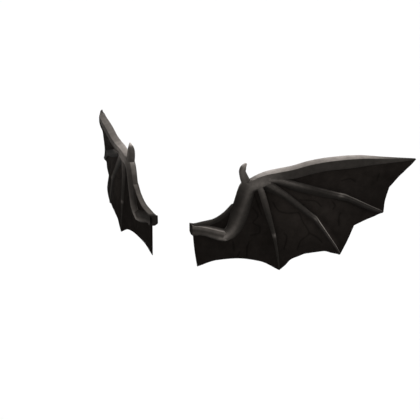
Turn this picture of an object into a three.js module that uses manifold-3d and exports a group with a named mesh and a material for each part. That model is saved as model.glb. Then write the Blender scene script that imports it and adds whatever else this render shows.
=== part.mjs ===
// A pair of bat wings to wear on the back: moulded foam-rubber bones with leatherette
// membrane panels between them. Millimetres, +Z up. The origin is midway between the
// two root faces, +X runs to the right wing and +Y is the way the wings sweep back.
import * as THREE from "three";
import { mergeVertices } from "three/addons/utils/BufferGeometryUtils.js";
import Module from "manifold-3d";

const wasm = await Module();
wasm.setup();

// Plan line of a wing: an arc that leaves the root face and curls gently back.
const ROOT_OFFSET = 56;
const ROOT_HEADING = THREE.MathUtils.degToRad(25.5);
const PLAN_RADIUS = 1180;

// The root face is upright and turned in towards the wearer's spine.
const ROOT_FACE_TURN = THREE.MathUtils.degToRad(36);
const ROOT_CUT_SIZE = 120;

// Membrane thickness, and the clearance left between neighbouring pieces.
const MEMBRANE = 2;
const GAP = 0.3;

// A bone's section is never thinner than this at a corner, in front or behind.
const BONE_EDGE = 1.4;

// The front web follows the forearm up to this height.
const WEB_TOP = 80;

// Steps of a membrane panel across from bone to bone, and along the bones.
const PANEL_STEPS_ACROSS = 8;
const PANEL_STEPS_ALONG = 10;

const FOAM_RUBBER = new THREE.MeshStandardMaterial({
  color: 0x3d3936,
  roughness: 0.62,
  metalness: 0,
});
const LEATHERETTE = new THREE.MeshStandardMaterial({
  color: 0x1f1b19,
  roughness: 0.7,
  metalness: 0,
});

// Section tables, a row for each corner round the section: across, as a share of half its
// width with the upper or outer side positive, and out, as a share of its height in front
// of its middle line, or behind it where negative.
const FINGER_SECTION = table(["across", "out"], [
  [-1, 0.22],
  [-0.2, 0.62],
  [0.62, 1],
  [0.9, 0.72],
  [1, 0.22],
  [1, -0.22],
  [0.9, -0.72],
  [0.62, -1],
  [-0.2, -0.62],
  [-1, -0.22],
]);

// The leading finger has a flat top that leans forward, an upright front face below it, and
// a plain slope behind.
const LEAD_SECTION = table(["across", "out"], [
  [-1, 0.16],
  [-0.64, 0.84],
  [0.62, 0.97],
  [0.7, 0.9],
  [0.98, -0.8],
  [0.96, -1],
  [-0.1, -0.6],
  [-1, -0.3],
]);

// The free edge of the front web is a flat that leans back.
const EDGE_SECTION = table(["across", "out"], [
  [-1, 0.16],
  [0, 0.62],
  [0.86, 1],
  [1, 0.86],
  [0.5, -0.9],
  [0.34, -1],
  [-0.3, -0.66],
  [-1, -0.2],
]);

// The arm bones are full, with a thick wall on their upper or outer side.
const ARM_SECTION = table(["across", "out"], [
  [-1, 0.25],
  [-0.6, 0.78],
  [0.05, 1],
  [0.62, 0.86],
  [1, 0.5],
  [1, -0.74],
  [0.8, -1],
  [0, -0.98],
  [-0.6, -0.72],
  [-1, -0.22],
]);

// The upper arm starts at the root as a block with one bevelled edge, low at its back.
const ROOT_SECTION = table(["across", "out"], [
  [-1, 0.25],
  [-0.97, 0.94],
  [0.05, 1],
  [0.7, 1],
  [1, 0.96],
  [1, -0.96],
  [0.9, -1],
  [0, -1],
  [-0.6, -1],
  [-1, -0.22],
]);
const ROOT_BLOCK_END = 8;

// The claw is a block with bevelled edges.
const CLAW_SECTION = table(["across", "out"], [
  [-1, 0.5],
  [-0.7, 1],
  [0.7, 1],
  [1, 0.5],
  [1, -0.7],
  [0.7, -1],
  [-0.7, -1],
  [-1, -0.7],
]);

// Bone tables, a row for each section from the bone's near end to its far end: along the
// plan line, height, sway of the middle line forward of the plan line, width of the section
// in the plane of the wing, and its height in front of the middle line and behind it.
const BONE_COLUMNS = ["along", "height", "sway", "width", "front", "back"];

const UPPER_ARM = bone(ARM_SECTION, [
  [-14, 1, 0, 28, 9, 9],
  [3, 0, 0, 28, 9, 9],
  [7, -0.4, 0, 28, 9, 9],
  [35, -4, 0, 28, 9, 9],
  [58, -10, 0, 30, 9.5, 9],
  [78, -15, 0, 31, 10, 9],
  [90, -17, 0, 28, 9.5, 8.5],
], ROOT_SECTION);

const FOREARM = bone(ARM_SECTION, [
  [83, -20, 0, 26, 9, 8.5],
  [96, -9, 0, 33, 12, 9.5],
  [107, 6, 0, 36, 12, 10],
  [120, 44, 0, 42, 10.5, 11],
  [129, 77, 0, 40.5, 9.5, 12],
  [137, 106, 0, 39, 9, 13],
  [144, 124, 0, 31, 8, 13],
]);

const WRIST = bone(ARM_SECTION, [
  [140, 111, 0, 26, 7.5, 9.5],
  [155, 119, 0, 31, 9.5, 10],
  [172, 124, 0, 29, 10, 9],
  [188, 127, 0, 23, 9.5, 8],
  [198, 128, 0, 15, 8, 6.5],
]);

const THUMB_CLAW = bone(CLAW_SECTION, [
  [136.5, 126, -3, 23, 9, 9],
  [130, 143, -3, 19.5, 9.5, 8.5],
  [127.3, 154, -3, 16.5, 9, 7.6],
  [129.6, 163, -3, 15, 7.4, 6],
  [136.8, 175.2, -3, 5, 0.8, 0.8],
]);

const FRONT_EDGE = bone(EDGE_SECTION, [
  [9, 9.6, 0, 16, 9, 9],
  [27, 14.9, 0, 16, 11, 9],
  [55.7, 22.8, 0, 16, 9, 9],
  [84.7, 42.3, 0, 16, 7.5, 9],
  [101.7, 60.8, 0, 16, 7, 10],
  [107, 65.8, 0, 15, 7, 11],
]);

const FINGER_1 = bone(LEAD_SECTION, [
  [146, 123.5, 0, 18, 5, 9.5],
  [171, 133, 0, 25, 7.5, 9.5],
  [190, 139, 0, 28, 10, 9],
  [217, 144, 0, 31, 13, 6.5],
  [247, 148, 0, 33, 13, 6.2],
  [300, 160, 0, 34, 13.5, 6.5],
  [346, 165.5, 0, 33.5, 13.8, 6],
  [386, 166.5, 0, 34.5, 13.5, 5],
  [426, 166, 0, 31, 11.5, 6],
  [454, 164.5, 0, 25.5, 8.8, 7],
  [496, 161.2, 0, 18, 5.6, 6.5],
  [545, 157.6, 0, 10.5, 3.4, 4.6],
  [590, 153.5, -1, 4.4, 1.6, 2.4],
]);

const FINGER_2 = bone(FINGER_SECTION, [
  [190, 133, 0, 13, 12, 3.5],
  [217, 131, 0, 14, 13, 5],
  [245, 121.8, -1, 15.5, 9, 5.5],
  [270, 113.2, -2, 16, 7.4, 5],
  [326, 95, -3.5, 15, 6, 4.5],
  [380, 79, -4, 12.5, 5.5, 4.5],
  [389, 76.5, -4, 12.5, 6.2, 5],
  [404, 70, -4, 10.5, 5, 4],
  [462, 40.5, -3, 8.5, 3.2, 2.6],
  [491, 26.5, -2, 6.5, 2.5, 2.2],
  [505, 20.5, -1.5, 3.6, 2, 1.8],
]);

const FINGER_3 = bone(FINGER_SECTION, [
  [186, 122, 0, 18, 9.5, 6.5],
  [198, 115, -1, 20.5, 9, 6],
  [224.5, 97, -3, 17, 7, 5.5],
  [273, 57.5, -5, 15, 6, 5],
  [305, 30, -5, 13.5, 5.8, 4.8],
  [315, 22, -5, 13, 6.5, 5],
  [325, 8.5, -5, 11, 5, 4],
  [354.5, -33, -4.5, 9, 4, 3.2],
  [381, -71, -3.5, 6.5, 2.6, 2.2],
  [389.5, -85, -3, 3.6, 2, 1.8],
]);

const FINGER_4 = bone(FINGER_SECTION, [
  [168, 118, 0, 16, 8.5, 7],
  [177, 94, -1, 17, 7.5, 6],
  [185, 67, -2.5, 17, 6.5, 5.5],
  [193.5, 38, -3, 16, 6, 5],
  [202, 10, -3, 13, 5.5, 4.6],
  [209, -15, -3, 11, 6, 4.8],
  [214, -38, -2, 9, 4.6, 3.7],
  [222.5, -90, 0.5, 6.5, 2.8, 2.4],
  [226, -114, 1.5, 3.6, 2, 1.8],
]);

// Hem tables, each hem in stretches that meet at a corner, a row for each point.
const HEM_COLUMNS = ["along", "height", "sway"];

const HEM_4_BODY = hem([
  [15, -103.5, -1],
  [66, -85, -3],
  [118, -79.5, -2],
  [177, -89.5, -3.5],
  [226, -114, 1.5],
]);
const HEM_3_4 = hem([
  [226, -114, 1.5],
  [240.5, -101.4, 1.8],
  [255, -85.4, 2],
  [274, -77.4, 2.8],
  [293, -70.8, 3.5],
  [341, -69, 1],
  [365, -77.1, -1],
  [389.5, -85, -3],
]);
const HEM_2_3 = hem(
  [[389.5, -85, -3], [403.5, -50, 1], [426, -9, -8]],
  [[426, -9, -8], [462, 4.5, -7], [490, 12.2, -8], [505, 20.5, -1.5]],
);
const HEM_1_2 = hem(
  [[505, 20.5, -1.5], [509, 50, -5], [517, 87, -3]],
  [
    [517, 87, -3],
    [530, 101.5, -1.5],
    [540, 118, 4.7],
    [551, 129, 7.1],
    [564, 139.5, 7],
    [590, 153.5, -1],
  ],
);

// The inner edge beside the body hangs from the root to the hem's inner corner.
const INNER_EDGE = hem([[4.5, -8, 2.8], [8.5, -55, 1.6], [15, -103.5, -1]]);

// Turns rows of numbers into rows with named columns.
function table(columns, rows) {
  return rows.map((numbers) => Object.fromEntries(columns.map((column, i) => [column, numbers[i]])));
}

// A bone: its section, its rows, and its section at the root if it starts there.
function bone(section, rows, rootSection = section) {
  return { section, rootSection, rows: table(BONE_COLUMNS, rows) };
}

// The smooth line through rows of a bone or a hem, in the wing's own coordinates.
function lineThrough(rows) {
  const points = rows.map(({ along, height, sway }) => new THREE.Vector3(along, height, sway));
  return new THREE.CatmullRomCurve3(points);
}

// A hem with a smooth line for each of its stretches.
function hem(...stretches) {
  const path = new THREE.CurvePath();
  stretches.forEach((rows) => path.add(lineThrough(table(HEM_COLUMNS, rows))));
  return path;
}

// A point of the curved wing: along its plan line, up, and forward of the plan line.
function onWing(along, height, forward) {
  const heading = ROOT_HEADING + along / PLAN_RADIUS;
  const x = ROOT_OFFSET + PLAN_RADIUS * (Math.sin(heading) - Math.sin(ROOT_HEADING));
  const y = PLAN_RADIUS * (Math.cos(ROOT_HEADING) - Math.cos(heading));
  return new THREE.Vector3(x + forward * Math.sin(heading), y - forward * Math.cos(heading), height);
}

// The direction of a bone in the plane of the wing at one of its rows.
function boneDirection(rows, i) {
  const before = rows[Math.max(i - 1, 0)];
  const after = rows[Math.min(i + 1, rows.length - 1)];
  return new THREE.Vector2(after.along - before.along, after.height - before.height).normalize();
}

// The distance of a section's corner from the middle line, forward where positive.
function cornerLift(out, { front, back }) {
  return out > 0 ? Math.max(out * front, BONE_EDGE) : Math.min(out * back, -BONE_EDGE);
}

// A bone lofted through its sections, or with grow the space that it needs with clearance.
function boneSolid({ section, rootSection, rows }, grow = 0) {
  const last = rows.length - 1;
  const rings = rows.map((row, i) => {
    const direction = boneDirection(rows, i);
    const reach = i === 0 ? -grow : i === last ? grow : 0;
    const along = row.along + direction.x * reach;
    const height = row.height + direction.y * reach;
    const corners = row.along < ROOT_BLOCK_END ? rootSection : section;
    return corners.map(({ across, out }) => {
      const offset = across * (row.width / 2 + grow);
      const forward = row.sway + cornerLift(out, row) + grow * Math.sign(out);
      return onWing(along - direction.y * offset, height + direction.x * offset, forward);
    });
  });
  return solidFromRings(rings);
}

// A closed solid from rings of points, with a flat fan over each end.
function solidFromRings(rings) {
  const sides = rings[0].length;
  const triangles = [];
  for (let ring = 0; ring + 1 < rings.length; ring += 1) {
    for (let side = 0; side < sides; side += 1) {
      const a = ring * sides + side;
      const b = ring * sides + ((side + 1) % sides);
      triangles.push([a, b, b + sides], [a, b + sides, a + sides]);
    }
  }
  const far = (rings.length - 1) * sides;
  for (let side = 1; side + 1 < sides; side += 1) {
    triangles.push([0, side + 1, side], [far, far + side, far + side + 1]);
  }
  return solidFromTriangles(rings.flat(), triangles);
}

// Makes a solid of a closed set of triangles, turned so that its faces point out.
function solidFromTriangles(points, triangles) {
  const volume = triangles.reduce((sum, [a, b, c]) => {
    const normal = new THREE.Vector3().crossVectors(points[b], points[c]);
    return sum + points[a].dot(normal);
  }, 0);
  const outward = volume > 0 ? triangles : triangles.map(([a, b, c]) => [a, c, b]);
  return new wasm.Manifold(new wasm.Mesh({
    numProp: 3,
    vertProperties: new Float32Array(points.flatMap((point) => point.toArray())),
    triVerts: new Uint32Array(outward.flat()),
  }));
}

// A point of the smooth patch between four curves.
function patchPoint({ near, far, left, right }, across, down) {
  const between = near.getPointAt(across).lerp(far.getPointAt(across), down);
  const sides = left.getPointAt(down).lerp(right.getPointAt(down), across);
  const nearLine = near.getPointAt(0).lerp(near.getPointAt(1), across);
  const farLine = far.getPointAt(0).lerp(far.getPointAt(1), across);
  return between.add(sides).sub(nearLine.lerp(farLine, down));
}

// The numbers of the points round the rim of a grid, in order.
function rimOfGrid(rowSteps, columnSteps) {
  const columns = columnSteps + 1;
  const last = columns * (rowSteps + 1) - 1;
  const nearSide = Array.from({ length: columnSteps }, (_, j) => j);
  const rightSide = Array.from({ length: rowSteps }, (_, i) => columnSteps + i * columns);
  const farSide = nearSide.map((j) => last - j);
  const leftSide = rightSide.map((j) => last - j);
  return [...nearSide, ...rightSide, ...farSide, ...leftSide];
}

// A membrane sheet over the patch between four curves: near and far run across from the
// left curve to the right one, which both run from near to far.
function membraneSheet(patch) {
  const columns = PANEL_STEPS_ACROSS + 1;
  const sheet = [];
  for (let i = 0; i <= PANEL_STEPS_ALONG; i += 1) {
    for (let j = 0; j <= PANEL_STEPS_ACROSS; j += 1) {
      sheet.push(patchPoint(patch, j / PANEL_STEPS_ACROSS, i / PANEL_STEPS_ALONG));
    }
  }
  const points = [MEMBRANE / 2, -MEMBRANE / 2].flatMap((forward) => {
    return sheet.map(({ x, y, z }) => onWing(x, y, z + forward));
  });
  const back = sheet.length;
  const triangles = [];
  for (let i = 0; i < PANEL_STEPS_ALONG; i += 1) {
    for (let j = 0; j < PANEL_STEPS_ACROSS; j += 1) {
      const a = i * columns + j;
      const c = a + columns;
      triangles.push([a, a + 1, c + 1], [a, c + 1, c]);
      triangles.push([back + a, back + c + 1, back + a + 1], [back + a, back + c, back + c + 1]);
    }
  }
  const rim = rimOfGrid(PANEL_STEPS_ALONG, PANEL_STEPS_ACROSS);
  rim.forEach((a, i) => {
    const b = rim[(i + 1) % rim.length];
    triangles.push([a, back + b, b], [a, back + a, back + b]);
  });
  return solidFromTriangles(points, triangles);
}

// Everything on the wearer's side of the root face.
function rootCut() {
  const geometry = new THREE.BoxGeometry(ROOT_CUT_SIZE, ROOT_CUT_SIZE, ROOT_CUT_SIZE);
  geometry.translate(0, -ROOT_CUT_SIZE / 2, 0);
  geometry.rotateZ(-ROOT_FACE_TURN);
  geometry.translate(ROOT_OFFSET, 0, 0);
  geometry.deleteAttribute("normal");
  geometry.deleteAttribute("uv");
  const merged = mergeVertices(geometry);
  return new wasm.Manifold(new wasm.Mesh({
    numProp: 3,
    vertProperties: new Float32Array(merged.attributes.position.array),
    triVerts: new Uint32Array(merged.index.array),
  }));
}

// Cuts from a solid the space that each of the given bones needs.
function clearOf(solid, bones) {
  return bones.reduce((rest, other) => rest.subtract(boneSolid(other, GAP)), solid);
}

// The membrane panel between a left line and a right one, clear of the bones round it.
// Its near side is straight unless a line is given.
function panel({ left, right, far, near }, bones) {
  const nearLine = near ?? new THREE.LineCurve3(left.getPointAt(0), right.getPointAt(0));
  return clearOf(membraneSheet({ near: nearLine, far, left, right }), bones);
}

// All the solids of a right wing by name. The panels hang from the bones' middle lines: the
// leading finger's from where it leaves the wrist, and the arm's from the root round the elbow
// to the wrist, or for the front web to where the web ends on the forearm.
function wingSolids() {
  const [, ...leadRows] = FINGER_1.rows;
  const [, ...upperArmRows] = UPPER_ARM.rows;
  const [, , ...forearmRows] = FOREARM.rows;
  const webRows = forearmRows.filter(({ height }) => height < WEB_TOP);
  const finger1 = lineThrough(leadRows);
  const finger2 = lineThrough(FINGER_2.rows);
  const finger3 = lineThrough(FINGER_3.rows);
  const finger4 = lineThrough(FINGER_4.rows);
  const frontEdge = lineThrough(FRONT_EDGE.rows);
  const arm = lineThrough([...upperArmRows, ...forearmRows, FINGER_4.rows[0]]);
  const lowerArm = lineThrough([...upperArmRows, ...webRows]);
  const armToEdge = new THREE.LineCurve3(lowerArm.getPointAt(1), frontEdge.getPointAt(1));
  return {
    upper_arm: clearOf(boneSolid(UPPER_ARM).subtract(rootCut()), [FOREARM]),
    forearm: clearOf(boneSolid(FOREARM), [WRIST]),
    wrist: boneSolid(WRIST),
    thumb_claw: clearOf(boneSolid(THUMB_CLAW), [FOREARM, WRIST]),
    front_edge: clearOf(boneSolid(FRONT_EDGE), [UPPER_ARM, FOREARM]),
    finger_1: clearOf(boneSolid(FINGER_1), [WRIST, FOREARM, THUMB_CLAW]),
    finger_2: clearOf(boneSolid(FINGER_2), [WRIST, FINGER_1]),
    finger_3: clearOf(boneSolid(FINGER_3), [WRIST, FINGER_1, FINGER_2]),
    finger_4: clearOf(boneSolid(FINGER_4), [WRIST, FOREARM, FINGER_3]),
    panel_front: panel(
      { left: lowerArm, right: frontEdge, far: armToEdge },
      [UPPER_ARM, FOREARM, FRONT_EDGE],
    ),
    panel_1_2: panel({ left: finger2, right: finger1, far: HEM_1_2 }, [WRIST, FINGER_1, FINGER_2]),
    panel_2_3: panel({ left: finger3, right: finger2, far: HEM_2_3 }, [WRIST, FINGER_2, FINGER_3]),
    panel_3_4: panel({ left: finger4, right: finger3, far: HEM_3_4 }, [WRIST, FINGER_3, FINGER_4]),
    panel_4_body: panel(
      { left: INNER_EDGE, right: finger4, far: HEM_4_BODY, near: arm },
      [UPPER_ARM, FOREARM, WRIST, FINGER_4],
    ),
  };
}

// A named mesh from a solid.
function meshOf(name, solid, material) {
  const { vertProperties, triVerts } = solid.getMesh();
  const geometry = new THREE.BufferGeometry();
  geometry.setAttribute("position", new THREE.BufferAttribute(vertProperties, 3));
  geometry.setIndex(new THREE.BufferAttribute(triVerts, 1));
  geometry.computeVertexNormals();
  const mesh = new THREE.Mesh(geometry, material);
  mesh.name = name;
  return mesh;
}

// One wing as a group, with the side in the names of its pieces.
function wing(side, solids) {
  const group = new THREE.Group();
  for (const [piece, solid] of Object.entries(solids)) {
    const material = piece.startsWith("panel") ? LEATHERETTE : FOAM_RUBBER;
    group.add(meshOf(`${side}_${piece}`, solid, material));
  }
  return group;
}

const solids = wingSolids();
const rightWing = wing("right", solids);
const leftWing = wing("left", solids);
leftWing.scale.x = -1;

const batWings = new THREE.Group();
batWings.add(rightWing, leftWing);

export default batWings;
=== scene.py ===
import math

import bpy
import numpy as np
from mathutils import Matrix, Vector


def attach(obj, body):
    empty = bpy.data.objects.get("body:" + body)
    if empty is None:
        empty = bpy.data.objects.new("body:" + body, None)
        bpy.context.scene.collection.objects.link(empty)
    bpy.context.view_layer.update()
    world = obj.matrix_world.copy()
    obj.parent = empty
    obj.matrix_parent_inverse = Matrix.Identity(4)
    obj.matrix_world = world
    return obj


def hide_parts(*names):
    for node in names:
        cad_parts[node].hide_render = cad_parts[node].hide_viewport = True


# Bat wings to wear on the back: moulded foam-rubber bones with leatherette panels between
# them. Tables are in millimetres and in wing coordinates: along the wing's plan line, height,
# and forward of the plan line. Meshes are in metres, in the part's own frame.
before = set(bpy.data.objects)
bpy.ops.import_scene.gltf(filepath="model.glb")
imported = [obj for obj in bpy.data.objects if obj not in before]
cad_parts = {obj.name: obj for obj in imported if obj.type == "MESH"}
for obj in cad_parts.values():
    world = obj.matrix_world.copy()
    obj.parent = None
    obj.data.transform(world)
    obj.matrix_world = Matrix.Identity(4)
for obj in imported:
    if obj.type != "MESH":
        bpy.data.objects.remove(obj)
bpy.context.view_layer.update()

MM = 0.001

# Plan line of a wing: an arc that leaves the root face and curls gently back. The root face
# is upright and turned in towards the wearer's spine. The sections of the upper arm lean over
# to it within ROOT_SHEAR of the root. Its place along the wing is found in ROOT_PASSES rounds.
ROOT_OFFSET = 56
ROOT_HEADING = math.radians(25.5)
PLAN_RADIUS = 1180
ROOT_FACE_TURN = math.radians(36)
ROOT_SHEAR = 30
ROOT_PASSES = 4

# The upper arm is a block at the root, with one bevelled edge low at its back, and turns into
# its own section between these places along the wing. The root face is ringed at these shares
# of its outline.
ROOT_BLOCK = (26 / 3, 26)
ROOT_BEVEL = 1.1
ROOT_BEVEL_SLOPE = 0.5
ROOT_RINGS = [0.74, 0.77, 0.98]

# Membrane thickness, the rounding of its hem, the share of the thickness that is left at the
# very edge, and the rows of points over the rounding, as shares of it.
MEMBRANE = 2.0
HEM_ROUND = 1.0
HEM_EDGE = 0.2
HEM_STEPS = [1, 0.6, 0.3, 0.08, 0]

# Panels end inside the bones, at a share of a bone's half width off its middle line: ARM_SEAT
# below the arm and the front edge, and PANEL_SEAT elsewhere.
PANEL_SEAT = 0.3
ARM_SEAT = 0.2

# Spacing of the sections along a bone, of the points of a bone's line that others blend
# into, and of the points of a membrane panel, and the fewest steps of a line and of a panel.
STATION_SPACING = 2.5
LINE_SPACING = 6
PANEL_SPACING = 2.6
FEWEST_LINE_STEPS = 2
FEWEST_PANEL_STEPS = 3

# Steps round each corner of a section, and the length of the steps along its edges, where
# across counts for more than out because bones are wider than they are high.
CORNER_STEPS = 4
EDGE_STEP = 0.2
ACROSS_WEIGHT = 2

# Bones join over this height, a join fades out towards a bone's edges below this share of the
# bone's own height, and a bone's lift falls away past its edges at this rate.
BLEND = 6.0
JOIN_OUT = 0.3
EDGE_FALL = 1.4

# Length of a bone's rounded tip, how far round it the sections go, and their number.
TIP_ROUND = 2.5
TIP_TURN = math.radians(82.8)
TIP_STEPS = 5

# A distance beyond any on the wings, and a gap at which two points of a section are the same.
FAR_AWAY = 1e3
SAME_POINT = 1e-6

# Section tables, a row for each corner round the section: across, as a share of half its
# width with the upper or outer side positive, out, as a share of its height in front of its
# middle line or behind it where negative, and how much of the edges beside it the corner's
# rounding takes.
FINGER_SECTION = [
    [-1.9, 0, 0],
    [-1.3, 0.2, 0.5],
    [-0.7, 0.36, 0.5],
    [-0.1, 0.74, 0.5],
    [0.45, 1.02, 0.3],
    [0.66, 0.98, 0.15],
    [1.04, 0.3, 0.15],
    [1.04, 0, 0],
    [0.86, -0.92, 0.3],
    [0.5, -1.02, 0.4],
    [-0.1, -0.64, 0.5],
    [-0.6, -0.13, 0.5],
]
SLIM_SECTION = [
    [-1.15, 0, 0],
    [-0.7, 0.2, 0.5],
    [-0.2, 0.74, 0.5],
    [0.45, 1.02, 0.4],
    [0.86, 0.9, 0.3],
    [1.04, 0, 0],
    [0.86, -0.9, 0.3],
    [0.45, -1.02, 0.4],
    [-0.2, -0.7, 0.5],
    [-0.7, -0.15, 0.5],
]
LEAD_SECTION = [
    [-1.05, 0.02, 0],
    [-0.97, 0.2, 0.2],
    [-0.64, 0.84, 0.35],
    [0.62, 0.98, 0.06],
    [0.7, 0.92, 0.1],
    [0.98, -0.8, 0.06],
    [0.96, -1, 0.3],
    [-0.1, -0.6, 0.4],
    [-1.05, -0.02, 0],
]
EDGE_SECTION = [
    [-1.1, 0.02, 0],
    [-0.6, 0.2, 0.5],
    [0.1, 0.66, 0.5],
    [0.86, 1, 0.15],
    [1, 0.86, 0.3],
    [0.5, -0.9, 0.1],
    [0.34, -1, 0.3],
    [-0.3, -0.66, 0.5],
    [-1.1, -0.02, 0],
]
UPPER_ARM_SECTION = [
    [-1.12, 0, 0],
    [-0.82, 0.4, 0.5],
    [-0.42, 1, 0.5],
    [0, 0.86, 0.5],
    [0.6, 0.96, 0.5],
    [0.9, 1.02, 0.2],
    [1.3, 0.1, 0.3],
    [1.2, -0.74, 0.3],
    [0.8, -1, 0.3],
    [0, -1, 0.5],
    [-0.6, -0.72, 0.5],
]
FOREARM_SECTION = [
    [-1.14, 0, 0],
    [-0.8, 0.28, 0.5],
    [-0.42, 0.86, 0.5],
    [0, 1.08, 0.45],
    [0.45, 0.86, 0.5],
    [0.95, 0.66, 0.4],
    [1, 0.3, 0.3],
    [1, -0.74, 0.3],
    [0.8, -1, 0.3],
    [0, -1, 0.5],
    [-0.6, -0.72, 0.5],
]
CLAW_SECTION = [
    [-1, 0.5, 0.25],
    [-0.7, 1.04, 0.25],
    [0.7, 1.04, 0.15],
    [1, 0.5, 0.25],
    [1, -0.7, 0.15],
    [0.7, -1.04, 0.25],
    [-0.7, -1.04, 0.15],
    [-1, -0.7, 0.25],
]

# Bone tables, a row for each section from the bone's near end to its far end: along the plan
# line, height, sway of the middle line forward of the plan line, width of the section in the
# plane of the wing, and its height in front of the middle line and behind it.
UPPER_ARM = [
    [0, 0, 0, 28, 9, 9],
    [35, -4, 0, 28, 9, 9],
    [58, -10, 0, 30, 9.5, 9],
    [78, -15, 0, 31, 10, 9],
    [92, -17, 0, 28, 9.5, 8.5],
]
FOREARM = [
    [83, -20, 0, 26, 9, 8.5],
    [96, -9, 0, 33, 12, 9.5],
    [107, 6, 0, 36, 12, 10],
    [120, 44, 0, 42, 10.5, 11],
    [129, 77, 0, 40.5, 9.5, 12],
    [137, 106, 0, 39, 9, 13],
    [144, 124, 0, 31, 8, 13],
]
WRIST = [
    [140, 111, 0, 26, 7.5, 9.5],
    [155, 119, 0, 31, 9.5, 10],
    [172, 124, 0, 29, 10, 9],
    [188, 127, 0, 23, 9.5, 8],
    [198, 128, 0, 15, 8, 6.5],
]
THUMB_CLAW = [
    [136.5, 126, -3, 23, 9, 9],
    [130, 143, -3, 19.5, 9.5, 8.5],
    [127.3, 154, -3, 16.5, 9, 7.6],
    [129.6, 163, -3, 15, 7.4, 6],
    [136.8, 175.2, -3, 5, 0.8, 0.8],
]
FRONT_EDGE = [
    [9, 9.6, 0, 16, 9, 9],
    [27, 14.9, 0, 16, 11, 9],
    [55.7, 22.8, 0, 16, 9, 9],
    [84.7, 42.3, 0, 16, 7.5, 9],
    [101.7, 60.8, 0, 16, 7, 10],
    [107, 65.8, 0, 15, 7, 11],
]
FINGER_1 = [
    [146, 123.5, 0, 18, 5, 9.5],
    [171, 133, 0, 25, 7.5, 9.5],
    [190, 139, 0, 28, 10, 9],
    [217, 144, 0, 31, 13, 6.5],
    [247, 148, 0, 33, 13, 6.2],
    [300, 160, 0, 34, 13.5, 6.5],
    [346, 165.5, 0, 33.5, 13.8, 6],
    [386, 166.5, 0, 34.5, 13.5, 5],
    [426, 166, 0, 31, 11.5, 6],
    [454, 164.5, 0, 25.5, 8.8, 7],
    [496, 161.2, 0, 18, 5.6, 6.5],
    [545, 157.6, 0, 10.5, 3.4, 4.6],
    [590, 153.5, -1, 4.4, 1.6, 2.4],
]
FINGER_2 = [
    [190, 133, 0, 13, 12, 3.5],
    [217, 131, 0, 14, 13, 5],
    [245, 121.8, -1, 15.5, 9, 5.5],
    [270, 113.2, -2, 16, 7.4, 5],
    [326, 95, -3.5, 15, 6, 4.5],
    [380, 79, -4, 12.5, 5.5, 4.5],
    [389, 76.5, -4, 12.5, 6.2, 5],
    [404, 70, -4, 10.5, 5, 4],
    [462, 40.5, -3, 8.5, 3.2, 2.6],
    [491, 26.5, -2, 6.5, 2.5, 2.2],
    [505, 20.5, -1.5, 3.6, 2, 1.8],
]
FINGER_3 = [
    [186, 122, 0, 18, 9.5, 6.5],
    [198, 115, -1, 20.5, 9, 6],
    [224.5, 97, -3, 17, 7, 5.5],
    [273, 57.5, -5, 15, 6, 5],
    [305, 30, -5, 13.5, 5.8, 4.8],
    [315, 22, -5, 13, 6.5, 5],
    [325, 8.5, -5, 11, 5, 4],
    [354.5, -33, -4.5, 9, 4, 3.2],
    [381, -71, -3.5, 6.5, 2.6, 2.2],
    [389.5, -85, -3, 3.6, 2, 1.8],
]
FINGER_4 = [
    [168, 118, 0, 16, 8.5, 7],
    [177, 94, -1, 17, 7.5, 6],
    [185, 67, -2.5, 17, 6.5, 5.5],
    [193.5, 38, -3, 16, 6, 5],
    [202, 10, -3, 13, 5.5, 4.6],
    [209, -15, -3, 11, 6, 4.8],
    [214, -38, -2, 9, 4.6, 3.7],
    [222.5, -90, 0.5, 6.5, 2.8, 2.4],
    [226, -114, 1.5, 3.6, 2, 1.8],
]

# Hem tables, a list for each stretch between corners: along, height, sway.
HEM_4_BODY = [
    [[15, -103.5, -1], [66, -85, -3], [118, -79.5, -2], [177, -89.5, -3.5], [226, -114, 1.5]],
]
HEM_3_4 = [
    [
        [226, -114, 1.5], [240.5, -101.4, 1.8], [255, -85.4, 2], [274, -77.4, 2.8],
        [293, -70.8, 3.5], [341, -69, 1], [365, -77.1, -1], [389.5, -85, -3],
    ],
]
HEM_2_3 = [
    [[389.5, -85, -3], [403.5, -50, 1], [426, -9, -8]],
    [[426, -9, -8], [462, 4.5, -7], [490, 12.2, -8], [505, 20.5, -1.5]],
]
HEM_1_2 = [
    [[505, 20.5, -1.5], [509, 50, -5], [517, 87, -3]],
    [
        [517, 87, -3], [530, 101.5, -1.5], [540, 118, 4.7],
        [551, 129, 7.1], [564, 139.5, 7], [590, 153.5, -1],
    ],
]
INNER_EDGE = [[4.5, -8, 2.8], [8.5, -55, 1.6], [15, -103.5, -1]]

# Veins in the membrane, each a line of places: along, height.
VEINS = [
    [[155, 59], [168, 37], [156, 18], [174, 4], [174, -9], [151, -17]],
    [[106, -33], [109, -58]],
    [[147, -34], [142, -53], [142, -75]],
    [[124, -61], [117, -75]],
    [[205, 71], [220, 49], [245, 41], [269, 41], [283, 16], [300, -16], [278, -36], [271, -58]],
    [[300, -16], [322, -29], [336, -44]],
    [[235, -12], [243, -23], [237, -56]],
    [[273, 75], [315, 68], [331, 53]],
    [[360, 64], [369, 50], [364, 42]],
    [[386, 29], [381, 19], [380, -1]],
    [[380, 118], [402, 122], [419, 112]],
    [[479, 130], [478, 109]],
    [[156, 100], [166, 70], [178, 39]],
]

# Spacing of a vein's points, half the width of its groove and the groove's depth, and the
# distance from the hem over which it runs out.
VEIN_SPACING = 0.75
VEIN_WIDTH = 2.4
VEIN_DEPTH = 0.5
VEIN_END = 6

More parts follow.
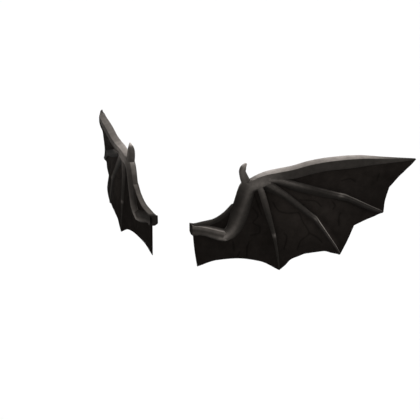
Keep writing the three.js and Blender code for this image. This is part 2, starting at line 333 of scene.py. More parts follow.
# Tones of the bones, a row for each place along the bone: share of its length, tone of its
# flanks and of its ridge, where the ridge is a painted highlight along the crest, and tone added
# on its upper side, a painted highlight where the light from above falls. The bright rows near
# the knuckles of fingers 2, 3 and 4 are painted highlights too. Tone 0 is dark rubber and tone 1
# is pale rubber, and a tone can lie past either.
TONES = {
    "upper_arm": [
        [0, 0.12, 0.2, 0.48],
        [0.25, 0.1, 0.18, 0.48],
        [0.5, 0.1, 0.3, 0.42],
        [0.85, 0.15, 0.55, 0.36],
        [1, 0.35, 0.74, 0.3],
    ],
    "forearm": [
        [0, 0.3, 0.68, 0.3],
        [0.12, 0.12, 0.55, 0.3],
        [0.28, -0.08, 0.4, 0.25],
        [0.5, -0.12, 0.25, 0.2],
        [0.7, -0.1, 0.25, 0.2],
        [0.9, 0.12, 0.38, 0.25],
        [1, 0.3, 0.48, 0.3],
    ],
    "wrist": [
        [0, 0.3, 0.48, 0.2],
        [0.5, 0.42, 0.54, 0.2],
        [1, 0.36, 0.48, 0.2],
    ],
    "thumb_claw": [
        [0, 0.22, 0.36, 0.2],
        [0.4, 0.28, 0.5, 0.2],
        [0.77, 0.4, 0.52, 0.3],
        [0.83, 0.6, 0.68, 0.4],
        [1, 0.7, 0.78, 0.5],
    ],
    "front_edge": [
        [0, 0.15, 0.2, 0.3],
        [0.3, 0.1, 0.22, 0.3],
        [0.5, -0.08, 0.22, 0.3],
        [1, -0.08, 0.22, 0.3],
    ],
    "finger_1": [
        [0, 0.46, 0.46, 0.44],
        [0.1, 0.46, 0.46, 0.6],
        [0.16, 0.3, 0.3, 0.7],
        [0.22, 0.14, 0.14, 0.78],
        [0.35, 0.1, 0.1, 0.77],
        [0.5, 0.1, 0.1, 0.84],
        [0.65, 0.06, 0.06, 0.82],
        [0.85, 0.16, 0.16, 0.3],
        [0.93, 0.12, 0.12, 0.14],
        [1, 0.02, 0.02, -0.1],
    ],
    "finger_2": [
        [0, 0.4, 0.52, 0],
        [0.14, 0.3, 0.48, -0.1],
        [0.24, 0.1, 0.36, 0],
        [0.4, -0.09, 0.08, 0.15],
        [0.55, -0.02, 0.24, 0.35],
        [0.59, 0.15, 0.56, 0.44],
        [0.635, -0.06, 0.18, 0.52],
        [1, -0.1, 0.1, 0.52],
    ],
    "finger_3": [
        [0, 0.34, 0.36, 0],
        [0.15, 0.22, 0.26, -0.12],
        [0.35, 0.13, 0.14, -0.12],
        [0.52, 0.1, 0.2, 0.12],
        [0.56, 0.15, 0.5, 0.3],
        [0.61, 0.06, 0.2, 0.69],
        [1, 0, 0.14, 0.62],
    ],
    "finger_4": [
        [0, 0.32, 0.46, 0.1],
        [0.15, 0.12, 0.32, 0.1],
        [0.4, -0.06, 0.04, 0.1],
        [0.55, -0.04, 0.06, 0.1],
        [0.585, 0.32, 0.57, 0.27],
        [0.63, -0.04, 0, 0.1],
        [1, -0.1, -0.06, 0.1],
    ],
}

# Where the ridge's painted highlight runs across each bone at its near end and at its far end,
# how wide it is, and the two places across between which the lower flank rises from the tone of
# its edge, which is painted shade along the bone's lower edge. All are shares of half the bone's
# width.
RIDGES = {
    "upper_arm": [-0.35, -0.35, 0.4, -1.1, -0.6],
    "forearm": [0.2, -0.4, 0.55, -1.15, -0.75],
    "wrist": [0.1, 0.1, 0.8, -1.2, -0.6],
    "thumb_claw": [0, 0, 0.7, -3, -2],
    "front_edge": [0.8, 0.8, 0.4, -3, -2],
    "finger_1": [0, 0, 1, -3, -2],
    "finger_2": [0.4, -0.4, 0.5, -1.7, -0.3],
    "finger_3": [0.4, -0.2, 0.55, -1, 0],
    "finger_4": [0.3, 0.3, 0.6, -1.1, -0.6],
}
# Tone of the painted shade at a bone's lower edge.
LOWER_EDGE_SHADE = -0.2

# The fingers whose upper bevel carries a thin painted highlight line.
LINED = ("finger_2", "finger_3")

# Painted light isn't the same on both wings: how much of its painted highlights a bone has, if
# not all, and the tone added to its front flank, if any, painted light where above 0 and painted
# shade where below.
WING_HIGHLIGHT_SHARES = {
    "right": {"front_edge": 0.3},
    "left": {"upper_arm": 0.1, "finger_1": 0.78, "finger_2": 0.1, "finger_3": 0.6, "finger_4": 0.7},
}
WING_FRONT_LIGHT = {
    "right": {},
    "left": {"upper_arm": -0.18, "finger_1": 0.18, "finger_2": -0.2, "wrist": 0.2, "forearm": 0.2},
}

# Painted highlights added below the rim of the upper arm and on the outer side of the forearm. A
# share of the latter is kept for a patch where that painted highlight is brightest: its place
# along the bone and its spread.
RIM_HIGHLIGHT = 0.37
FOREARM_SIDE_HIGHLIGHT = 0.48
SIDE_PATCH = 0.25
SIDE_PATCH_PLACE = 0.8
SIDE_PATCH_SPREAD = 0.1

# How much of the painted highlight on its upper side the top of the leading finger takes at its
# back and at its front.
LEAD_BACK = 1.1
LEAD_FRONT = 0.9

# Tones of the root face: of its middle, and of the dark line down its front edge.
ROOT_TONE = -0.1
ROOT_LINE = -1.4

# Colours of the bones at tone 0 and at tone 1.
BONE_DARK = np.array([0.0165, 0.0145, 0.0128])
BONE_PALE = np.array([0.36, 0.325, 0.3])

# The membrane's plain colour, and the shares of it that are added as painted light at the root
# of the front web, beside the outer half of finger 3 and in the middle of each panel, which leaves
# the panels in painted shade near the bones, and taken away in the veins and at the hem.
MEMBRANE_COLOUR = np.array([0.0075, 0.0062, 0.0054])
ROOT_GLOW = 2.5
SEAM_GLOW = 1.4
PANEL_GLOW = {
    "panel_front": 0.3,
    "panel_1_2": 0.65,
    "panel_2_3": 0.85,
    "panel_3_4": 0.9,
    "panel_4_body": 0.15,
}
VEIN_SHADE = 0.5
HEM_SHADE = 0.4

# Ramps of the paint: the place where each one starts, and the place from which it is full.
RAMPS = {
    # How far a bone's surface faces up.
    "facing_up": (0.35, 0.85),
    # Across a bone, as shares of half its width.
    "bevel_across": (0.55, 0.75),
    "front_across": (-0.6, 0),
    "rim_across": (0.05, 0.65),
    "side_across": (0.9, 1),
    # Out from a bone's middle line, as shares of its height in front of the line or behind it.
    "bevel_out": (0, 0.25),
    "front_out": (0.2, 0.6),
    "rim_out": (0.5, 0.9),
    "side_out": (0.6, 0.2),
    "arm_top_out": (-0.2, 1),
    "lead_top_out": (-0.8, 0.9),
    "root_line_out": (0.745, 0.765),
    # Along a bone, as shares of its length.
    "arm_front": (0.8, 0.35),
    "finger_2_front": (0.08, 0.25),
    # From a panel's near edge to its hem, as shares of the way.
    "glow_start": (0, 0.45),
    "glow_end": (1.05, 0.55),
    "seam_start": (0.48, 0.62),
    "seam_end": (1, 0.8),
    # Across a panel, as shares of its width.
    "seam_across": (0.16, 0),
    # Along the wing, and away from the hem, in millimetres.
    "web_root": (55, 20),
    "hem_shade": (4, 0),
}

# The camera at the photograph's viewing angle, in metres, with its sensor in millimetres.
LOOK_AT = Vector((0, 0.1909, -0.0236))
CAMERA_DISTANCE = 2.16106
CAMERA_AZIMUTH = math.radians(30.32)
CAMERA_ELEVATION = math.radians(21.44)
FIELD_OF_VIEW = math.radians(30)
SENSOR_WIDTH = 36

# Soft lights, each with the direction that it comes from and its strength: one from above, from
# the right wing's side and a little behind, and a weak one from the left wing's side in front.
LIGHTS = {
    "key_light": ((0.75, 0.3, 0.6), 3.4),
    "fill_light": ((-0.45, -0.85, 0.3), 0.7),
}
LIGHT_ANGLE = math.radians(50)
LIGHT_DISTANCE = 2

# The white surround's strength, and the pale floor well below the wings, in metres.
WORLD_STRENGTH = 0.4
WHITE = (1, 1, 1, 1)
FLOOR_COLOUR = (0.92, 0.92, 0.92, 1)
FLOOR_ROUGHNESS = 0.9
FLOOR_HEIGHT = -1.2
FLOOR_SIZE = 60


def on_wing(along, height, forward):
    """Places on the curved right wing, in millimetres in the part's frame."""
    heading = ROOT_HEADING + along / PLAN_RADIUS
    x = ROOT_OFFSET + PLAN_RADIUS * (np.sin(heading) - math.sin(ROOT_HEADING))
    y = PLAN_RADIUS * (math.cos(ROOT_HEADING) - np.cos(heading))
    x = x + forward * np.sin(heading)
    y = y - forward * np.cos(heading)
    return np.stack([x, y, height + 0 * x], axis=-1)


def smooth_step(start, end, value):
    """0 up to the start, 1 from the end on, and a smooth rise between them, either way round."""
    share = np.clip((value - start) / (end - start), 0, 1)
    return share * share * (3 - 2 * share)


def ramp(name, value):
    """How much of a named ramp of the paint there is at the given values."""
    return smooth_step(*RAMPS[name], value)


def bell(value):
    """1 at a value of 0, falling away on both sides of it."""
    return np.exp(-(value**2))


def smooth_curve(knots, values, places):
    """Values at the given places, on smooth curves through the knots that don't overshoot."""
    gaps = np.diff(knots)[:, None]
    slopes = np.diff(values, axis=0) / gaps
    before, after = slopes[:-1], slopes[1:]
    weight_before = gaps[1:] * 2 + gaps[:-1]
    weight_after = gaps[1:] + gaps[:-1] * 2
    same_way = before * after > 0
    safe_before = np.where(same_way, before, 1)
    safe_after = np.where(same_way, after, 1)
    mean = (weight_before + weight_after) / (weight_before / safe_before + weight_after / safe_after)
    tangents = np.concatenate([slopes[:1], np.where(same_way, mean, 0), slopes[-1:]])
    stretch = np.clip(np.searchsorted(knots, places, side="right") - 1, 0, len(gaps) - 1)
    gap = gaps[stretch]
    t = ((places - knots[stretch]) / gap[:, 0])[:, None]
    start, end = values[stretch], values[stretch + 1]
    start_tangent, end_tangent = tangents[stretch] * gap, tangents[stretch + 1] * gap
    return (
        start * (2 * t**3 - 3 * t**2 + 1)
        + start_tangent * (t**3 - 2 * t**2 + t)
        + end * (3 * t**2 - 2 * t**3)
        + end_tangent * (t**3 - t**2)
    )


def lengths_along(rows):
    """The distance of each row from the first, in the plane of the wing."""
    steps = np.linalg.norm(np.diff(rows[:, :2], axis=0), axis=1)
    return np.concatenate([[0], np.cumsum(steps)])


def smooth_rows(rows, spacing):
    """Rows of a table, filled in to about the given spacing."""
    rows = np.array(rows, float)
    knots = lengths_along(rows)
    count = max(int(round(knots[-1] / spacing)), FEWEST_LINE_STEPS)
    return smooth_curve(knots, rows, np.linspace(0, knots[-1], count + 1))


def rounded_section(corners):
    """The closed outline of a section with its corners rounded: across and out."""
    corners = np.array(corners, float)
    outline = []
    for i, corner in enumerate(corners):
        here, share = corner[:2], corner[2]
        before, after = corners[i - 1], corners[(i + 1) % len(corners)]
        start = here + (before[:2] - here) * share
        end = here + (after[:2] - here) * share
        for u in np.linspace(0, 1, CORNER_STEPS + 1 if share else 1):
            outline.append((1 - u) ** 2 * start + 2 * u * (1 - u) * here + u**2 * end)
        edge = after[:2] + (here - after[:2]) * after[2] - end
        steps = int(math.hypot(edge[0] * ACROSS_WEIGHT, edge[1]) / EDGE_STEP)
        outline.extend(end + edge * k / steps for k in range(1, steps))
    outline = np.array(outline)
    apart = np.linalg.norm(outline - np.roll(outline, 1, axis=0), axis=1)
    return outline[apart > SAME_POINT]


def make_bone(section, rows):
    """A bone's section, rows, and the line and profiles that its neighbours blend into."""
    outline = rounded_section(section)
    front = outline[outline[:, 1] >= 0]
    back = outline[outline[:, 1] <= 0]
    return {
        "outline": outline,
        "rows": np.array(rows, float),
        "line": smooth_rows(rows, LINE_SPACING),
        "front": front[np.argsort(front[:, 0])],
        "back": back[np.argsort(back[:, 0])] * [1, -1],
    }


# Each bone with its section. The wrist has the forearm's.
BONES = {
    "upper_arm": make_bone(UPPER_ARM_SECTION, UPPER_ARM),
    "forearm": make_bone(FOREARM_SECTION, FOREARM),
    "wrist": make_bone(FOREARM_SECTION, WRIST),
    "thumb_claw": make_bone(CLAW_SECTION, THUMB_CLAW),
    "front_edge": make_bone(EDGE_SECTION, FRONT_EDGE),
    "finger_1": make_bone(LEAD_SECTION, FINGER_1),
    "finger_2": make_bone(FINGER_SECTION, FINGER_2),
    "finger_3": make_bone(FINGER_SECTION, FINGER_3),
    "finger_4": make_bone(SLIM_SECTION, FINGER_4),
}


def lift_of(bone, along, height, side):
    """How far a bone reaches forward, or back where side is -1, at places of the wing."""
    line = bone["line"]
    start = line[:-1, :2]
    step = np.diff(line[:, :2], axis=0)
    length = np.linalg.norm(step, axis=1)
    places = np.stack([along, height], axis=-1)
    share = ((places[:, None] - start) * step).sum(-1) / length**2
    share = np.clip(share, 0, 1)
    nearest = start + share[..., None] * step
    best = np.linalg.norm(places[:, None] - nearest, axis=-1).argmin(1)
    u = np.take_along_axis(share, best[:, None], axis=1)
    row = line[best] * (1 - u) + line[best + 1] * u
    direction = (step / length[:, None])[best]
    gap = places - row[:, :2]
    across = direction[:, 0] * gap[:, 1] - direction[:, 1] * gap[:, 0]
    past_end = np.abs((direction * gap).sum(-1))
    half = row[:, 3] / 2
    profile = bone["front"] if side > 0 else bone["back"]
    out = np.interp(across / half, profile[:, 0], profile[:, 1])
    past_edge = np.maximum(np.abs(across) - half, 0)
    reach = row[:, 4] if side > 0 else row[:, 5]
    return side * row[:, 2] + out * reach - EDGE_FALL * (past_edge + past_end)


def fillet(apart):
    """The height that a smooth join adds where two lifts are this far apart."""
    return np.maximum(BLEND - np.abs(apart), 0) ** 2 / (4 * BLEND)


def joined(name, along, height, forward, out):
    """Forward places of a bone's points, joined smoothly to the bones that it meets."""
    result = forward.copy()
    for side in (1, -1):
        chosen = np.flatnonzero(out * side > 0)
        own = forward[chosen] * side
        others = np.full(len(chosen), -FAR_AWAY)
        for other_name, other in BONES.items():
            if other_name not in (name, "thumb_claw"):
                lift = lift_of(other, along[chosen], height[chosen], side)
                others = np.maximum(others, lift) + fillet(others - lift)
        below = np.maximum(others - own, 0)
        raised = np.maximum(own, others) + fillet(own - others) - below**2 / (below + BLEND)
        share = smooth_step(0, JOIN_OUT, np.abs(out[chosen]))
        result[chosen] = side * (own + (raised - own) * share)
    return result


def blend_share(name, along):
    """How much of its smooth joins a bone takes: none for the claw or at the root face."""
    if name == "thumb_claw":
        return np.zeros_like(along)
    if name == "upper_arm":
        return smooth_step(*ROOT_BLOCK, along)
    return np.ones_like(along)


def root_start(height, forward):
    """Where along the wing the root face is, for the given heights and forward places."""
    along = np.zeros_like(height)
    for _ in range(ROOT_PASSES):
        place = on_wing(along, height, forward)
        past = (place[..., 0] - ROOT_OFFSET) * math.sin(ROOT_FACE_TURN)
        past += place[..., 1] * math.cos(ROOT_FACE_TURN)
        along -= past / math.sin(ROOT_FACE_TURN + ROOT_HEADING)
    return along


def bone_points(name):
    """Rings of points of a bone: wing coordinates, and each point's across, out and share."""
    bone = BONES[name]
    knots = lengths_along(bone["rows"])
    length = knots[-1]
    count = int(round((length - TIP_ROUND) / STATION_SPACING))
    turn = np.linspace(0, TIP_TURN, TIP_STEPS + 1)[1:]
    tip = length - TIP_ROUND * (1 - np.sin(turn))
    places = np.concatenate([np.linspace(0, length - TIP_ROUND, count), tip])
    rows = smooth_curve(knots, bone["rows"], places)
    if name == "thumb_claw":
        sizes = [np.interp(places, knots, column) for column in bone["rows"][:, 3:].T]
        rows[:, 3:] = np.stack(sizes, axis=-1)
    taper = np.concatenate([np.ones(count), np.cos(turn)])[:, None]
    along, height, sway, width, front, back = rows.T[..., None]
    direction = np.gradient(rows[:, :2], axis=0)
    direction /= np.linalg.norm(direction, axis=1)[:, None]
    across, out = (np.broadcast_to(part, (len(places), len(part))) for part in bone["outline"].T)
    if name == "upper_arm":
        bevel = (-across - out * ROOT_BEVEL_SLOPE) / ROOT_BEVEL
        reach = np.maximum.reduce([np.abs(across), np.abs(out), bevel])
        grown = 1 + (1 / reach - 1) * (1 - smooth_step(*ROOT_BLOCK, along))
        across, out = across * grown, out * grown
    offset = across * width / 2 * taper
    lift = np.where(out > 0, out * front, out * back) * taper
    along = along - direction[:, 1:] * offset
    height = height + direction[:, :1] * offset
    forward = sway + lift
    if name == "upper_arm":
        shear = np.clip(1 - rows[:, :1] / ROOT_SHEAR, 0, 1)
        start = root_start(height[:1], forward[:1])
        along = along + shear * (start - along[:1])
    share = np.broadcast_to((places / length)[:, None], along.shape)
    return along, height, forward, across, out, share


def with_root_face(measures):
    """Rings of a bone with those of its flat root face before them, marked by a share below 0."""
    centres = [part[:1].mean() for part in measures]
    face = []
    for part, centre in zip(measures, centres):
        face.append(np.concatenate([centre + (part[:1] - centre) * size for size in ROOT_RINGS]))
    face[-1] = np.full_like(face[-1], -1)
    return [np.concatenate([inner, part]) for inner, part in zip(face, measures)]


def ring_faces(rings, sides):
    """Faces of a closed tube of rings, with a fan from a middle point over each end."""
    ring, side = np.meshgrid(np.arange(rings - 1), np.arange(sides), indexing="ij")
    a = ring * sides + side
    b = ring * sides + (side + 1) % sides
    faces = np.stack([a, b, b + sides, a + sides], axis=-1).reshape(-1, 4).tolist()
    near, far = rings * sides, rings * sides + 1
    last = (rings - 1) * sides
    for k in range(sides):
        following = (k + 1) % sides
        faces.append([near, following, k])
        faces.append([far, last + k, last + following])
    return faces


def bone_shape(name):
    """Points, faces and paint measures of a bone on the right wing: across, out and share."""
    along, height, forward, across, out, share = bone_points(name)
    blended = joined(name, *(part.ravel() for part in (along, height, forward, out)))
    forward = forward + (blended.reshape(forward.shape) - forward) * blend_share(name, along)
    measures = [along, height, forward, across, out, share]
    if name == "upper_arm":
        measures = with_root_face(measures)
    rings, sides = measures[0].shape
    flat = [part.ravel() for part in measures]
    ends = [slice(0, sides), slice((rings - 1) * sides, rings * sides)]
    with_ends = [np.concatenate([part] + [[part[end].mean()] for end in ends]) for part in flat]
    points = on_wing(*with_ends[:3])
    return points, ring_faces(rings, sides), with_ends[3:]


def bone_line(name, across, first=0, last=None):
    """A line along a bone at a share of its half width: along, height, sway."""
    rows = smooth_rows(BONES[name]["rows"][first:last], PANEL_SPACING)
    direction = np.gradient(rows[:, :2], axis=0)
    direction /= np.linalg.norm(direction, axis=1)[:, None]
    offset = across * rows[:, 3:4] / 2
    normal = np.stack([-direction[:, 1], direction[:, 0]], axis=-1)
    return np.concatenate([rows[:, :2] + normal * offset, rows[:, 2:3]], axis=1)


def hem_line(stretches):
    """A hem's line, and the shares of its length at which its corners are."""
    lines = [smooth_rows(rows, PANEL_SPACING) for rows in stretches]
    line = np.concatenate(lines[:1] + [part[1:] for part in lines[1:]])
    ends = np.cumsum([lengths_along(part)[-1] for part in lines])
    return line, list(ends[:-1] / ends[-1])


def along_line(line, shares):
    """Points at shares of a line's length."""
    lengths = lengths_along(line)
    return np.stack([np.interp(shares * lengths[-1], lengths, part) for part in line.T], axis=-1)


def even_steps(stops, length):
    """Shares from 0 to 1 at about the panel spacing, with a step at each of the stops."""
    edges = [0, *stops, 1]
    parts = []
    for low, high in zip(edges, edges[1:]):
        count = max(int(round((high - low) * length / PANEL_SPACING)), FEWEST_PANEL_STEPS)
        parts.append(np.linspace(low, high, count, endpoint=False))
    return np.concatenate(parts + [[1]])


def vein_distance(along, height):
    """The distance from places of the wing to the nearest vein."""
    nearest = np.full(along.shape, FAR_AWAY)
    for vein in VEINS:
        for place in smooth_rows(vein, VEIN_SPACING):
            nearest = np.minimum(nearest, np.hypot(along - place[0], height - place[1]))
    return nearest


def vein_share(distance):
    """How much of a vein there is at a distance from its middle."""
    return np.exp(-((distance / VEIN_WIDTH) ** 2) * 2)


# The lines that panels end on. Those along the arm run from the upper arm into the forearm.
FINGER_4_INNER = bone_line("finger_4", -PANEL_SEAT)
ARM_LINE = np.concatenate([
    bone_line("upper_arm", -ARM_SEAT), bone_line("forearm", -ARM_SEAT, first=2), FINGER_4_INNER[:1],
])
WEB_LINE = np.concatenate([
    bone_line("upper_arm", PANEL_SEAT), bone_line("forearm", PANEL_SEAT, first=2, last=5),
])

# Each panel's inner and outer lines, or lower and upper ones for the front panel, its hem if it
# has one, and its near line if that isn't straight.
PANELS = {
    "panel_front": (WEB_LINE, bone_line("front_edge", -ARM_SEAT), None, None),
    "panel_1_2": (
        bone_line("finger_2", PANEL_SEAT), bone_line("finger_1", -PANEL_SEAT, first=1), HEM_1_2, None,
    ),
    "panel_2_3": (
        bone_line("finger_3", PANEL_SEAT), bone_line("finger_2", -PANEL_SEAT), HEM_2_3, None,
    ),
    "panel_3_4": (
        bone_line("finger_4", PANEL_SEAT), bone_line("finger_3", -PANEL_SEAT), HEM_3_4, None,
    ),
    "panel_4_body": (
        smooth_rows(INNER_EDGE, PANEL_SPACING), FINGER_4_INNER, HEM_4_BODY, ARM_LINE,
    ),
}


def panel_shape(name):
    """Points, faces and paint measures of a membrane panel on the right wing."""
    inner, outer, hem, near = PANELS[name]
    if hem is None:
        far, stops = np.stack([inner[-1], outer[-1]]), []
    else:
        far, stops = hem_line(hem)
    if near is None:
        near = np.stack([inner[0], outer[0]])
    down_length = max(lengths_along(inner)[-1], lengths_along(outer)[-1])
    across_length = max(lengths_along(near)[-1], lengths_along(far)[-1])
    u = even_steps(stops, across_length)
    hem_edge = HEM_ROUND * np.array(HEM_STEPS) / down_length
    v = np.concatenate([even_steps([], down_length)[:-1], 1 - hem_edge])
    v = v[np.concatenate([np.diff(v) > 0, [True]])]
    grid_u, grid_v = np.meshgrid(u, v)
    us, vs = grid_u[..., None], grid_v[..., None]
    near_line, far_line = along_line(near, u)[None], along_line(far, u)[None]
    inner_line, outer_line = along_line(inner, v)[:, None], along_line(outer, v)[:, None]
    corners = (near[0] * (1 - us) + near[-1] * us) * (1 - vs) + (far[0] * (1 - us) + far[-1] * us) * vs
    middle = near_line * (1 - vs) + far_line * vs - corners
    middle = middle + inner_line * (1 - us) + outer_line * us
    along, height, sway = (part.ravel() for part in np.moveaxis(middle, -1, 0))
    to_hem = ((1 - grid_v) * down_length).ravel()
    in_rounding = 1 - np.clip(to_hem / HEM_ROUND, 0, 1)
    rounding = np.maximum(np.sqrt(1 - in_rounding**2), HEM_EDGE)
    vein = vein_distance(along, height)
    groove = VEIN_DEPTH * vein_share(vein) * smooth_step(0, VEIN_END, to_hem)
    half = MEMBRANE / 2 * rounding - groove
    points = np.concatenate([on_wing(along, height, sway + half), on_wing(along, height, sway - half)])
    rows, columns = grid_u.shape
    number = np.arange(rows * columns).reshape(rows, columns)
    around = [number[:-1, :-1], number[:-1, 1:], number[1:, 1:], number[1:, :-1]]
    quads = np.stack(around, axis=-1).reshape(-1, 4)
    back = rows * columns
    rim = np.concatenate([number[0, :-1], number[:-1, -1], number[-1, :0:-1], number[:0:-1, 0]])
    following = np.roll(rim, -1)
    walls = np.stack([rim, rim + back, following + back, following], axis=-1)
    faces = np.concatenate([quads, quads[:, ::-1] + back, walls]).tolist()
    measures = [np.tile(part, 2) for part in (along, grid_u.ravel(), grid_v.ravel(), vein, to_hem)]
    return points, faces, measures


def turned_out(points, faces):
    """The faces, all turned over if they enclose a negative volume."""
    volume = 0.0
    for face in faces:
        a, b, c = points[face[0]], points[face[1]], points[face[2]]
        volume += a @ np.cross(b, c)
        if len(face) == 4:
            d = points[face[3]]
            volume += a @ np.cross(c, d)
    return faces if volume > 0 else [face[::-1] for face in faces]


def make_object(name, points, faces, material, smooth):
    """A mesh object from points in millimetres, smooth but for the faces of flat ends."""
    mesh = bpy.data.meshes.new(name)
    mesh.from_pydata((points * MM).tolist(), [], faces)
    mesh.polygons.foreach_set("use_smooth", smooth)
    sharp = mesh.attributes.new("sharp_edge", "BOOLEAN", "EDGE")
    flat_points = {point for face, is_smooth in zip(faces, smooth) if not is_smooth for point in face}
    ends = [all(point in flat_points for point in edge.vertices) for edge in mesh.edges]
    sharp.data.foreach_set("value", ends)
    mesh.materials.append(material)
    piece = bpy.data.objects.new(name, mesh)
    bpy.context.scene.collection.objects.link(piece)
    return piece


def normals_of(piece):
    """The normals of a mesh's points."""
    normals = np.zeros(len(piece.data.vertices) * 3, np.float32)
    piece.data.vertex_normals.foreach_get("vector", normals)
    return normals.reshape(-1, 3)


def set_paint(piece, colour):
    """Keeps a colour for each point of a mesh, for its material to read."""
    layer = piece.data.color_attributes.new("paint", "FLOAT_COLOR", "POINT")
    rgba = np.concatenate([colour, np.ones((len(colour), 1))], axis=1)
    layer.data.foreach_set("color", rgba.astype(np.float32).ravel())


def bone_paint(side, name, measures, normals):
    """The colours of a bone's points, with their painted highlights and painted shade."""
    across, out, share = measures
    rows = np.array(TONES[name])
    flank, ridge, top = smooth_curve(rows[:, 0], rows[:, 1:], np.clip(share, 0, 1)).T
    near_centre, far_centre, spread, fade_start, fade_end = RIDGES[name]
    centre = near_centre + (far_centre - near_centre) * share
    highlight_share = WING_HIGHLIGHT_SHARES[side].get(name, 1)
    # Painted highlight where the surface faces up; on the lined fingers, along the upper bevel instead.
    upper = ramp("facing_up", normals[:, 2])
    if name in LINED:
        upper = ramp("bevel_across", across) * ramp("bevel_out", out)
    if name == "finger_1":
        upper = upper * (LEAD_BACK + (LEAD_FRONT - LEAD_BACK) * ramp("lead_top_out", out))
    # Each wing's painted light and shade on the front flank.
    front = ramp("front_across", across) * ramp("front_out", out) * (1 - upper)
    if name == "upper_arm":
        front = front * ramp("arm_front", share)
    if name == "finger_2":
        front = front * ramp("finger_2_front", share)
    flank = flank + WING_FRONT_LIGHT[side].get(name, 0) * front
    # Painted highlight along the ridge.
    ridge_share = bell((across - centre) / spread)
    if name.startswith("finger"):
        ridge_share = ridge_share * highlight_share
    body = flank + np.maximum(ridge - flank, 0) * ridge_share
    # Painted shade towards the lower edge.
    tone = LOWER_EDGE_SHADE + (body - LOWER_EDGE_SHADE) * smooth_step(fade_start, fade_end, across)
    if name == "upper_arm":
        upper = upper * ramp("arm_top_out", out)
        # Painted highlight below the rim of the upper arm.
        tone = tone + RIM_HIGHLIGHT * highlight_share * ramp("rim_across", across) * ramp("rim_out", out)
    # Painted highlight on the upper side.
    tone = tone + top * upper * highlight_share
    # Painted highlight on the outer side of the forearm, brightest at a patch.
    if name == "forearm":
        outer_side = ramp("side_across", across) * ramp("side_out", out)
        patch = bell((share - SIDE_PATCH_PLACE) / SIDE_PATCH_SPREAD)
        tone = tone + FOREARM_SIDE_HIGHLIGHT * outer_side * (1 - SIDE_PATCH + SIDE_PATCH * patch)
    root_face = ROOT_TONE + (ROOT_LINE - ROOT_TONE) * ramp("root_line_out", out)
    tone = np.where(share < 0, root_face, tone)
    return BONE_DARK * (BONE_PALE / BONE_DARK) ** tone[:, None]


def panel_paint(name, measures):
    """The colours of a panel's points, with painted light in places and painted shade near the bones.
    """
    along, u, v, vein, to_hem = measures
    # Painted light in the middle of each panel, leaving painted shade near the bones.
    middle = np.sin(np.clip(u, 0, 1) * math.pi) * ramp("glow_start", v) * ramp("glow_end", v)
    level = 1 + PANEL_GLOW[name] * middle
    # Painted light at the root of the front web.
    if name == "panel_front":
        level = level + ROOT_GLOW * ramp("web_root", along)
    # Painted light beside the outer half of finger 3.
    if name == "panel_2_3":
        level = level + SEAM_GLOW * ramp("seam_across", u) * ramp("seam_start", v) * ramp("seam_end", v)
    level = level * (1 - VEIN_SHADE * vein_share(vein))
    level = level * (1 - HEM_SHADE * ramp("hem_shade", to_hem))
    return MEMBRANE_COLOUR * level[:, None]


def new_material(name):
    """A material made of nodes, and its shader."""
    material = bpy.data.materials.new(name)
    material.use_nodes = True
    return material, material.node_tree.nodes["Principled BSDF"]


def add_node(tree, kind, links=(), **settings):
    """A node with its settings, and links from other nodes' outputs to its inputs."""
    node = tree.nodes.new(kind)
    for key, value in settings.items():
        if key in node.inputs:
            node.inputs[key].default_value = value
        else:
            setattr(node, key, value)
    for socket, output in links:
        tree.links.new(output, node.inputs[socket])
    return node


def add_noise(tree, place, scale, detail, roughness=0.5):
    """A noise value for each place."""
    links = [("Vector", place)]
    noise = add_node(tree, "ShaderNodeTexNoise", links, Scale=scale, Detail=detail, Roughness=roughness)
    return noise.outputs["Fac"]


def add_range(tree, value, before, after):
    """A value moved from one range into another."""
    limits = {"From Min": before[0], "From Max": before[1], "To Min": after[0], "To Max": after[1]}
    return add_node(tree, "ShaderNodeMapRange", [("Value", value)], **limits).outputs["Result"]


def finish_skin(tree, shader, shade, roughness, reliefs, strength, depth, gloss):
    """Joins a skin's painted colour, its shade, its roughness and two reliefs to its shader."""
    paint = add_node(tree, "ShaderNodeAttribute", attribute_name="paint").outputs["Color"]
    colour = add_node(tree, "ShaderNodeVectorMath", [(0, paint), (1, shade)], operation="MULTIPLY")
    relief = add_node(tree, "ShaderNodeMath", enumerate(reliefs), operation="ADD").outputs["Value"]
    bump = add_node(tree, "ShaderNodeBump", [("Height", relief)], Strength=strength, Distance=depth)
    tree.links.new(colour.outputs["Vector"], shader.inputs["Base Color"])
    tree.links.new(roughness, shader.inputs["Roughness"])
    tree.links.new(bump.outputs["Normal"], shader.inputs["Normal"])
    shader.inputs["Specular IOR Level"].default_value = gloss


def foam_rubber():
    """Matte moulded foam rubber: mottled, with lumps and fine pores."""
    material, shader = new_material("foam_rubber")
    tree = material.node_tree
    place = add_node(tree, "ShaderNodeTexCoord").outputs["Object"]
    mottle = add_noise(tree, place, scale=70, detail=6, roughness=0.62)
    pores = add_noise(tree, place, scale=750, detail=3)
    lumps = add_noise(tree, place, scale=160, detail=4)
    shade = add_range(tree, mottle, before=(0.3, 0.7), after=(0.78, 1.2))
    rough = add_range(tree, lumps, before=(0, 1), after=(0.7, 0.95))
    finish_skin(tree, shader, shade, rough, (pores, lumps), strength=0.35, depth=0.0006, gloss=0.03)
    return material


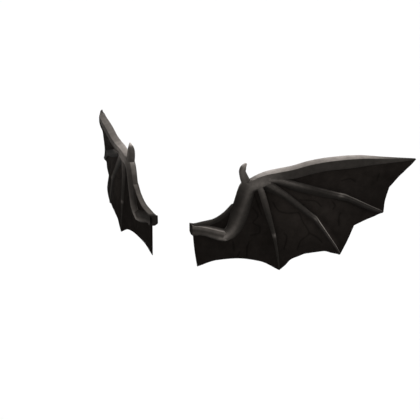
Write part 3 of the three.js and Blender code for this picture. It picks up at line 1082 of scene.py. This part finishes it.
def leatherette():
    """Matte leatherette: cloudy, with a grain of cells and fine creases."""
    material, shader = new_material("leatherette")
    tree = material.node_tree
    place = add_node(tree, "ShaderNodeTexCoord").outputs["Object"]
    cloud = add_noise(tree, place, scale=38, detail=7, roughness=0.6)
    creases = add_noise(tree, place, scale=240, detail=5)
    grain = add_node(
        tree, "ShaderNodeTexVoronoi", [("Vector", place)], feature="DISTANCE_TO_EDGE", Scale=520,
    )
    cells = add_range(tree, grain.outputs["Distance"], before=(0, 0.18), after=(0, 1))
    shade = add_range(tree, cloud, before=(0.3, 0.7), after=(0.75, 1.25))
    rough = add_range(tree, creases, before=(0, 1), after=(0.75, 0.98))
    finish_skin(tree, shader, shade, rough, (cells, creases), strength=0.4, depth=0.0005, gloss=0.003)
    return material


def dress(piece, node):
    """Makes a piece stand for its CAD node."""
    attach(piece, "root")
    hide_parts(node)


def smooth_faces(name, points, faces):
    """Which faces are smooth: all but those of the flat root face."""
    if name != "upper_arm":
        return np.ones(len(faces), bool)
    middle = len(points) - 2
    edge = (len(ROOT_RINGS) + 1) * len(BONES[name]["outline"])
    return np.array([max(point for point in face if point != middle) >= edge for face in faces])


def make_wings():
    """Both wings, the left one the mirror image of the right one."""
    rubber = foam_rubber()
    leather = leatherette()
    shapes = {name: bone_shape(name) for name in BONES}
    shapes.update({name: panel_shape(name) for name in PANELS})
    for name, (points, faces, measures) in shapes.items():
        faces = turned_out(points, faces)
        smooth = smooth_faces(name, points, faces)
        for side, mirror in (("right", 1), ("left", -1)):
            node = f"{side}_{name}"
            placed = points * [mirror, 1, 1]
            order = faces if mirror > 0 else [face[::-1] for face in faces]
            if name in PANELS:
                piece = make_object(f"{node}_leather", placed, order, leather, smooth)
                set_paint(piece, panel_paint(name, measures))
                dress(piece, node)
            else:
                piece = make_object(f"{node}_foam", placed, order, rubber, smooth)
                set_paint(piece, bone_paint(side, name, measures, normals_of(piece)))
                dress(piece, node)


def make_camera():
    """The scene's camera."""
    data = bpy.data.cameras.new("camera")
    data.sensor_width = SENSOR_WIDTH
    data.lens = SENSOR_WIDTH / 2 / math.tan(FIELD_OF_VIEW / 2)
    camera = bpy.data.objects.new("camera", data)
    back = Vector((
        math.sin(CAMERA_AZIMUTH) * math.cos(CAMERA_ELEVATION),
        -math.cos(CAMERA_AZIMUTH) * math.cos(CAMERA_ELEVATION),
        math.sin(CAMERA_ELEVATION),
    ))
    camera.location = LOOK_AT + back * CAMERA_DISTANCE
    camera.rotation_euler = (-back).to_track_quat("-Z", "Y").to_euler()
    bpy.context.scene.collection.objects.link(camera)
    bpy.context.scene.camera = camera


def make_stage():
    """A plain pale floor, a white surround and the lights."""
    material, shader = new_material("pale_floor")
    shader.inputs["Base Color"].default_value = FLOOR_COLOUR
    shader.inputs["Roughness"].default_value = FLOOR_ROUGHNESS
    shader.inputs["Specular IOR Level"].default_value = 0
    half = FLOOR_SIZE / 2
    mesh = bpy.data.meshes.new("floor")
    corners = [(-half, -half, FLOOR_HEIGHT), (half, -half, FLOOR_HEIGHT)]
    corners += [(half, half, FLOOR_HEIGHT), (-half, half, FLOOR_HEIGHT)]
    mesh.from_pydata(corners, [], [(0, 1, 2, 3)])
    mesh.materials.append(material)
    floor = bpy.data.objects.new("floor", mesh)
    bpy.context.scene.collection.objects.link(floor)

    world = bpy.data.worlds.new("studio")
    world.use_nodes = True
    background = world.node_tree.nodes["Background"]
    background.inputs["Color"].default_value = WHITE
    background.inputs["Strength"].default_value = WORLD_STRENGTH
    bpy.context.scene.world = world

    for name, (direction, energy) in LIGHTS.items():
        light = bpy.data.lights.new(name, "SUN")
        light.angle = LIGHT_ANGLE
        light.energy = energy
        lamp = bpy.data.objects.new(name, light)
        lamp.location = Vector(direction) * LIGHT_DISTANCE
        lamp.rotation_euler = Vector(direction).to_track_quat("Z", "Y").to_euler()
        bpy.context.scene.collection.objects.link(lamp)
    bpy.context.scene.view_settings.view_transform = "Standard"


make_camera()
make_stage()
make_wings()
